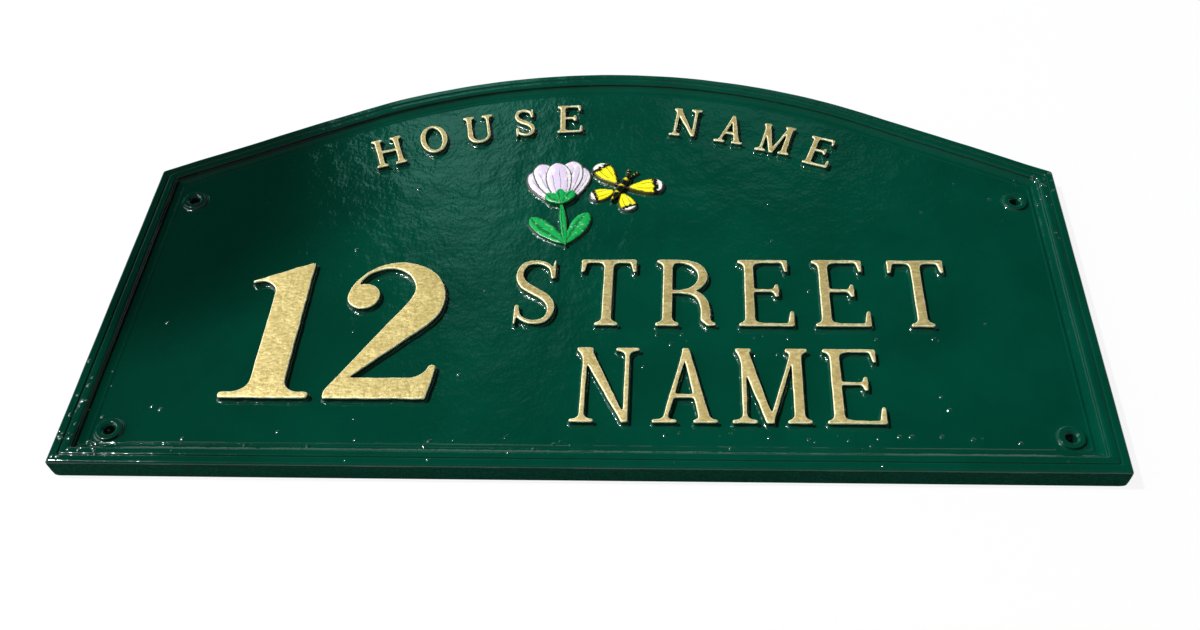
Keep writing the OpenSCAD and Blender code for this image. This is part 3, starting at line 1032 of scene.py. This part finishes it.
def gold_material(name, paint, enamel):
    """Gold brushed over the tops, pale along their edges, partly where it gathers and partly as a painted
    highlight, and green enamel on the sides
    """
    n = Nodes(name)
    top = n.raised(low=0.7, high=0.84, size=1.6 * MM, reach=0.5 * MM)
    streak = n.noise(1.2 * MM, 3.0, (0.55, 1, 1), 0.65)
    cross = n.noise(1.8 * MM, 3.0, (1, 0.45, 1), 0.6)
    dull = shade(paint, (0.7, 0.67, 0.55))
    bright = tuple(min(1.0, c) for c in shade(paint, (1.2, 1.24, 1.4)))
    tone = n.mix(streak.ramp(0.34, 0.66), dull, bright)
    tone = n.mix(cross.ramp(0.42, 0.66) * 0.6, tone, paint)
    tone = n.mix(n.noise(7 * MM, 3.0).ramp(0.4, 0.7) * 0.5, tone, dull)
    # Pale rim round each top: partly gold gathered at the edge, partly a painted highlight where the edges
    # catch the light
    rim = (n.mark("edge") + n.drift(1.4 * MM, 2.0, 0.8)).ramp(-0.6, -0.1)
    tone = n.mix(rim, tone, (1.0, 0.94, 0.62))
    grain = n.bump(streak + cross, 0.17 * MM, n.bump(n.noise(5 * MM), 0.3 * MM))
    rough = 0.34 + 0.2 * streak
    return n.finish(n.principled(
        base_color=n.mix(top, enamel_colour(n, enamel), tone), roughness=0.13 + top * (rough - 0.13),
        metallic=top * 0.25, normal=grain))


def outlined(n, tone, ink, reach):
    """A tone with a thin uneven dark line along the shape's edge"""
    line = (n.mark("edge") + n.drift(1.5 * MM, 2.0, 0.9)).ramp(-reach, 0.35 - reach)
    return n.mix(line * 0.9, tone, ink)


def gloss_paint(n, tone, enamel):
    """Gloss brush paint over the enamel, which shows at the foot of the sides"""
    top = n.raised(low=0.12, high=0.3, size=1.2 * MM, reach=0.3 * MM)
    return n.finish(n.principled(
        base_color=n.mix(top, enamel_colour(n, enamel), tone),
        roughness=0.22 + 0.12 * n.noise(4 * MM), normal=n.bump(n.noise(1.3 * MM, 3.0), 0.03 * MM)))


def petal_material(finish):
    """Lilac petals with white rims, dark outlines and veins, and a green blush at the foot"""
    n = Nodes("lilac_petals")
    along, across = n.mark("leaf", 0), n.mark("leaf", 1)
    drift = n.drift(3 * MM, 3.0, 0.5)
    rim = (abs(across) + drift + along * 0.25).ramp(0.7, 0.95)
    tone = n.mix(rim * 0.8, finish.lilac, finish.white)
    tone = n.mix(n.noise(2 * MM, 3.0, (1, 0.4, 1)).ramp(0.5, 0.66) * 0.7, tone, finish.white)
    broken = n.noise(4 * MM, 3.0)
    vein = abs(((across + drift * 0.25) * 6.0 + 0.6).wave())
    fine = (1 - vein.ramp(0.06, 0.22)) * (1 - along.ramp(0.7, 0.9)) * broken.ramp(0.4, 0.47)
    tone = n.mix(fine * 0.9, tone, (0.09, 0.05, 0.1))
    vein = abs(((across + drift * 0.3) * 4.0 + 1.4).wave())
    green = (1 - vein.ramp(0.05, 0.2)) * (1 - broken.ramp(0.44, 0.5)) * (1 - along.ramp(0.55, 0.7))
    tone = n.mix(green * 0.85, tone, finish.leaf)
    tone = n.mix((1 - (along + drift * 0.5).ramp(0.14, 0.36)) * 0.8, tone, finish.leaf)
    return gloss_paint(n, outlined(n, tone, (0.04, 0.03, 0.03), 1.0), finish.enamel)


def stem_material(finish):
    """Bright green stem and leaves with darker strokes and a few pale ones"""
    n = Nodes("leaf_green")
    streak = ((n.mark("leaf", 1) + n.drift(2.5 * MM, 3.0, 0.6)) * 5.0).wave()
    tone = n.mix(streak.ramp(0.2, 0.95) * 0.75, finish.leaf, shade(finish.leaf, 0.2))
    pale = tuple(c + 0.35 for c in shade(finish.leaf, 0.6))
    tone = n.mix((n.noise(1.8 * MM, 3.0) + n.mark("leaf") * 0.05).ramp(0.62, 0.7) * 0.6, tone, pale)
    return gloss_paint(n, outlined(n, tone, (0.0, 0.03, 0.012), 0.45), finish.enamel)


def wing_material(finish):
    """Yellow wings with black veins, a black band and margin, and white at their tips"""
    n = Nodes("yellow_wings")
    reach = n.mark("leaf") + n.drift(1.6 * MM, 3.0, 0.2)
    tone = n.mix(n.noise(3 * MM).ramp(0.55, 0.75) * 0.35, finish.yellow, (0.95, 0.9, 0.25))
    vein = (1 - abs((n.mark("leaf", 1) * 4.2 + 1.6).wave()).ramp(0.08, 0.2)) * reach.ramp(0.3, 0.4) * 0.85
    dark = vein.most(reach.band(0.72, 0.77, 0.84, 0.88)).most(1 - reach.ramp(0.12, 0.18))
    tone = n.mix(dark, tone, finish.black)
    tone = n.mix(reach.ramp(0.84, 0.88), tone, finish.white)
    return gloss_paint(n, outlined(n, tone, finish.black, 0.9), finish.enamel)


def body_material(finish):
    """Black body with pale brush marks"""
    n = Nodes("black_body")
    band = ((n.mark("leaf") + n.drift(2 * MM, 2.0, 0.1)) * 26.0).wave()
    tone = n.mix(band.ramp(0.55, 0.8) * (1 - abs(n.mark("leaf", 1))) * 0.9, finish.black, finish.yellow)
    return gloss_paint(n, tone, finish.enamel)


class SIGN_OT_plate(bpy.types.Operator):
    """Makes the enamelled casting with its moulding, bosses and bores"""

    bl_idname = "sign.plate"
    bl_label = "Cast plate"

    def execute(self, context):
        sizes, _, finish = settings()
        skin, zone = build_plate(sizes)
        plate = skin.piece("cast_plate", enamel_material(finish.enamel), "green_enamel", {"zone": zone})
        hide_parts("plaque")
        return {"FINISHED"}


class SIGN_OT_number(bpy.types.Operator):
    """Makes the raised house number"""

    bl_idname = "sign.number"
    bl_label = "House number"

    def execute(self, context):
        sizes, letters, finish = settings()
        k = letters.number / FIGURE_TALL
        step = 0.9 * MM
        group = Relief()
        x = -sizes.width / 2 + letters.number_side
        foot = -sizes.height / 2 + letters.number_foot
        for figure, wide in ((figure_one, ONE_WIDE), (figure_two, TWO_WIDE)):
            drawing = Drawing((0, 0), (wide * k, letters.number), 0.5 * step)
            figure(drawing, k)
            drawing.settle(step, 3, 0.08 * MM, x)
            group.place(relief(drawing, step), (x, foot))
            x += wide * k + letters.number_gap
        group.piece("house_number", gold_material("number_gold", finish.gold, finish.enamel), "gold_paint")
        return {"FINISHED"}


class SIGN_OT_letters(bpy.types.Operator):
    """Makes the raised letters: a row along the arch and two straight rows"""

    bl_idname = "sign.letters"
    bl_label = "Raised letters"

    def execute(self, context):
        sizes, letters, finish = settings()
        dull, fresh = (gold_material(name, shade(finish.dull_gold, share), finish.enamel)
                       for name, share in (("dull_gold", 1.0), ("fresh_gold", 1.22)))
        foot = -sizes.height / 2
        pen = Pen(letters.row, thick=4.4 * MM, thin=2.0 * MM)
        shapes = letter_shapes("STREETNAME", pen, cell=0.28 * MM, spacing=0.6 * MM)
        for word, name, gold, left, right, up in (
            ("STREET", "upper_row_letters", dull, -38 * MM, 165 * MM, 79 * MM),
            ("NAME", "lower_row_letters", fresh, -6 * MM, 130 * MM, 24.5 * MM),
        ):
            group = Relief()
            row_of_letters(group, word, shapes, left, right, foot + up)
            group.piece(name, gold, "gold_paint")
        pen = Pen(letters.bow, thick=2.6 * MM, thin=1.5 * MM)
        shapes = letter_shapes("HOUSENAME", pen, cell=0.2 * MM, spacing=0.42 * MM)
        group = Relief()
        bow_of_letters(group, ("HOUSE", "NAME"), shapes, letters,
                       crown=foot + 224 * MM, pitch=24.5 * MM, word_gap=37.5 * MM)
        group.piece("arch_letters", dull, "gold_paint")
        return {"FINISHED"}


class SIGN_OT_flower(bpy.types.Operator):
    """Makes the raised flower with its calyx, stem and leaves"""

    bl_idname = "sign.flower"
    bl_label = "Flower"

    def execute(self, context):
        finish = settings()[2]
        at, heading = (-19 * MM, 28 * MM), 8
        ornament(PETALS, at, heading).piece("petals", petal_material(finish), "lilac_paint")
        green = ornament(CALYX + STALK + LEAVES, at, heading)
        green.piece("stem_and_leaves", stem_material(finish), "leaf_paint")
        return {"FINISHED"}


class SIGN_OT_butterfly(bpy.types.Operator):
    """Makes the raised butterfly beside the flower"""

    bl_idname = "sign.butterfly"
    bl_label = "Butterfly"

    def execute(self, context):
        finish = settings()[2]
        at, heading = (10 * MM, 40 * MM), -24
        ornament(WINGS, at, heading).piece("wings", wing_material(finish), "yellow_paint")
        ornament(BODY + FEELERS, at, heading).piece("butterfly_body", body_material(finish), "green_enamel")
        return {"FINISHED"}


BEADS = {"corner": 42, "foot": 36, "letters": 30, "shoulder": 35, "field": 22}
BEAD_RINGS = ((1.0, -0.03), (0.8, 0.09), (0.55, 0.19), (0.28, 0.26), (0.06, 0.28))
BEAD_SIDES = 9
LARGEST_BEAD = 1.3 * MM


def bead_places(sizes, rng):
    """Where beads of enamel lie: thick in the left foot corner and the right shoulder, and along the foot
    and the letters"""
    half, foot = sizes.width / 2, -sizes.height / 2
    spots = []
    for _ in range(BEADS["corner"]):
        out = rng.exponential(16 * MM, 2)
        spots.append((-half + 2 * MM + out[0] * 0.7, foot + 3 * MM + out[1] * 1.3))
    for _ in range(BEADS["foot"]):
        spots.append((rng.uniform(-half + 4 * MM, half - 4 * MM), foot + rng.uniform(2 * MM, 20 * MM)))
    for _ in range(BEADS["letters"]):
        x = rng.uniform(-12 * MM, 170 * MM)
        spots.append((x, foot + rng.choice([21, 76]) * MM - rng.exponential(3 * MM)))
    for _ in range(BEADS["shoulder"]):
        out = rng.exponential(12 * MM, 2)
        spots.append((half - 2 * MM - out[0], foot + sizes.shoulder - 2 * MM - out[1]))
    for _ in range(BEADS["field"]):
        spots.append((rng.uniform(-0.9, 0.9) * half, foot + rng.uniform(0.1, 0.7) * sizes.height))
    return spots


def build_beads(sizes):
    """Flat beads of enamel that lie on the field and the moulding"""
    rng = np.random.default_rng(21)
    outline, profile = Outline(sizes), border_profile(sizes)
    crest = profile[np.argmax(profile[:, 1] > sizes.rim - 0.05 * MM):]
    skin = Skin()
    for x, y in bead_places(sizes, rng):
        if outline.depth(x, y) < 2 * MM or hole_distance(sizes, x, y) < 7 * MM:
            continue
        r = rng.uniform(0.45, 1.0) ** 1.5 * LARGEST_BEAD
        spin = oval(0, 0, r, r, spokes(BEAD_SIDES)) * rng.uniform(0.85, 1.15, (BEAD_SIDES, 1))
        rings = []
        for share, rise in BEAD_RINGS:
            at = (x, y) + share * spin
            floor = np.interp(outline.depth(*at.T), crest[:, 0], crest[:, 1])
            rings.append(skin.ring(at, floor + rise * r + sizes.ripple * cast_ripple(*at.T)))
        skin.bridge(rings)
        skin.faces.append(tuple(rings[-1]))
    return skin


class SIGN_OT_beads(bpy.types.Operator):
    """Makes the beads that the enamel left on the face as it dried"""

    bl_idname = "sign.beads"
    bl_label = "Enamel beads"

    def execute(self, context):
        sizes, _, finish = settings()
        build_beads(sizes).piece("enamel_beads", bead_material(finish.enamel), "green_enamel")
        return {"FINISHED"}


def floor_material(paint):
    """Pale floor that shows white to the camera and in gloss, though not through the screw holes, and
    keeps the sign's shadow"""
    n = Nodes("pale_floor")
    diffuse = n.add("ShaderNodeBsdfDiffuse", None, {"Color": (*paint, 1.0)})
    white = n.add("ShaderNodeEmission", None, {"Color": (1, 1, 1, 1), "Strength": 1.0})
    rays = n.add("ShaderNodeLightPath")
    x = n.part(n.place())
    clear = abs(x).ramp(0.212, 0.218).most(abs(x.out(1) + 0.04).ramp(0.08, 0.085))
    seen = rays.most(rays.out(3)).most(rays.out(6)) * clear
    return n.finish(n.add("ShaderNodeMixShader", None, {0: seen * 0.9, 1: diffuse, 2: white}))


def build_dish(flat, bend, sides):
    """Level round floor whose rim sweeps up into a low backdrop"""
    skin = Skin()
    profile = [(flat * share, 0) for share in (0.05, 0.2, 0.4, 0.7, 1)]
    profile += list(oval(flat, bend, bend, bend, np.radians(np.linspace(-82, 0, 9))))
    rings = [skin.ring(oval(0, 0, r, r, spokes(sides)), z) for r, z in profile]
    skin.bridge(rings[::-1])
    skin.faces.append(tuple(rings[0]))
    return skin


def room_world(level, window):
    """Even room, dark beyond the sign's head but for the soft patches that the enamel shows"""
    world = bpy.data.worlds.new("room")
    n = Nodes("room", world)
    x = n.part(n.add("ShaderNodeTexCoord"))
    y, z = x.out(1), x.out(2)
    side = x / y.most(0.05)
    left = side.band(-0.35, -0.29, -0.26, -0.11) * ((0.82 - z) * 5.9).most(0.0) ** 2
    right = side.band(-0.06, 0.0, 0.12, 0.24) * (1 - z.ramp(0.655, 0.685)) * 0.25
    patch = (left + right).least(1.0) * z.ramp(0.5, 0.6) * y.ramp(0.3, 0.4)
    ahead = side.band(-1.5, -1.2, -0.8, -0.65) * (1 - z.ramp(0.4, 0.5)) * y.ramp(0.3, 0.4)
    strength = level * (1 - y.ramp(0.1, 0.4)) + 0.01 + patch * window + ahead * 0.8
    tint = n.mix((patch.most(ahead) * 4).least(1.0), (0.7, 1.0, 0.92), (0.4, 1.0, 0.88))
    surface = n.add("ShaderNodeBackground", None, {"Color": tint, "Strength": strength})
    n.add("ShaderNodeOutputWorld", None, {"Surface": surface})
    return world


def lamp(name, place, side, power):
    """Soft square lamp that faces the middle of the sign"""
    light = bpy.data.lights.new(name, "AREA")
    light.shape = "RECTANGLE"
    light.size = light.size_y = side
    light.energy = power
    obj = bpy.data.objects.new(name, light)
    obj.location = place
    obj.rotation_euler = (-Vector(place)).to_track_quat("-Z", "Y").to_euler()
    bpy.context.scene.collection.objects.link(obj)


# The camera's right, up and back, and its shift as a share of the picture's width
CAMERA_AXES = ((0.9992, 0.0290, -0.0261), (-0.0050, 0.7593, 0.6507), (0.0387, -0.6501, 0.7589))
CAMERA_SHIFT = -40 / 1200


class SIGN_OT_stage(bpy.types.Operator):
    """Sets up the floor, the lamps, the world and the camera"""

    bl_idname = "sign.stage"
    bl_label = "Stage"

    def execute(self, context):
        scene, stage = context.scene, context.scene.sign_stage
        floor = build_dish(flat=3.0, bend=0.9, sides=64).shell("floor", floor_material(stage.floor))
        scene.world = room_world(level=0.13, window=1.5)
        lamp("key", (-2.0, 0.45, 3.15), side=0.15, power=174)
        lamp("side", (-1.6, -0.1, 0.68), side=1.3, power=14)
        camera = bpy.data.cameras.new("camera")
        camera.sensor_width = 36
        camera.lens = stage.lens
        camera.shift_x = CAMERA_SHIFT
        obj = bpy.data.objects.new("camera", camera)
        obj.matrix_world = Matrix.Translation(stage.eye) @ Matrix(CAMERA_AXES).transposed().to_4x4()
        scene.collection.objects.link(obj)
        scene.camera = obj
        scene.view_settings.view_transform = "Standard"
        return {"FINISHED"}


class SIGN_PT_panel(bpy.types.Panel):
    """Lists the sign's pieces in the sidebar"""

    bl_label = "House sign"
    bl_space_type = "VIEW_3D"
    bl_region_type = "UI"
    bl_category = "Sign"

    def draw(self, context):
        for operator in OPERATORS:
            self.layout.operator(operator.bl_idname)
        for group in GROUPS:
            for key in GROUPS[group].__annotations__:
                self.layout.prop(getattr(context.scene, group), key)


GROUPS = {
    "sign_plate": SignPlateSizes, "sign_letters": SignLetterSizes,
    "sign_finish": SignFinish, "sign_stage": SignStage,
}
OPERATORS = (SIGN_OT_plate, SIGN_OT_beads, SIGN_OT_number, SIGN_OT_letters, SIGN_OT_flower,
             SIGN_OT_butterfly, SIGN_OT_stage)


def register():
    for cls in (*GROUPS.values(), *OPERATORS, SIGN_PT_panel):
        bpy.utils.register_class(cls)
    for name, group in GROUPS.items():
        setattr(bpy.types.Scene, name, bpy.props.PointerProperty(type=group))


def unregister():
    for name in GROUPS:
        delattr(bpy.types.Scene, name)
    for cls in (SIGN_PT_panel, *reversed(OPERATORS), *reversed(GROUPS.values())):
        bpy.utils.unregister_class(cls)


def main():
    register()
    bpy.ops.sign.stage()
    bpy.ops.sign.plate()
    bpy.ops.sign.beads()
    bpy.ops.sign.number()
    bpy.ops.sign.letters()
    bpy.ops.sign.flower()
    bpy.ops.sign.butterfly()


if __name__ == "__main__":
    main()
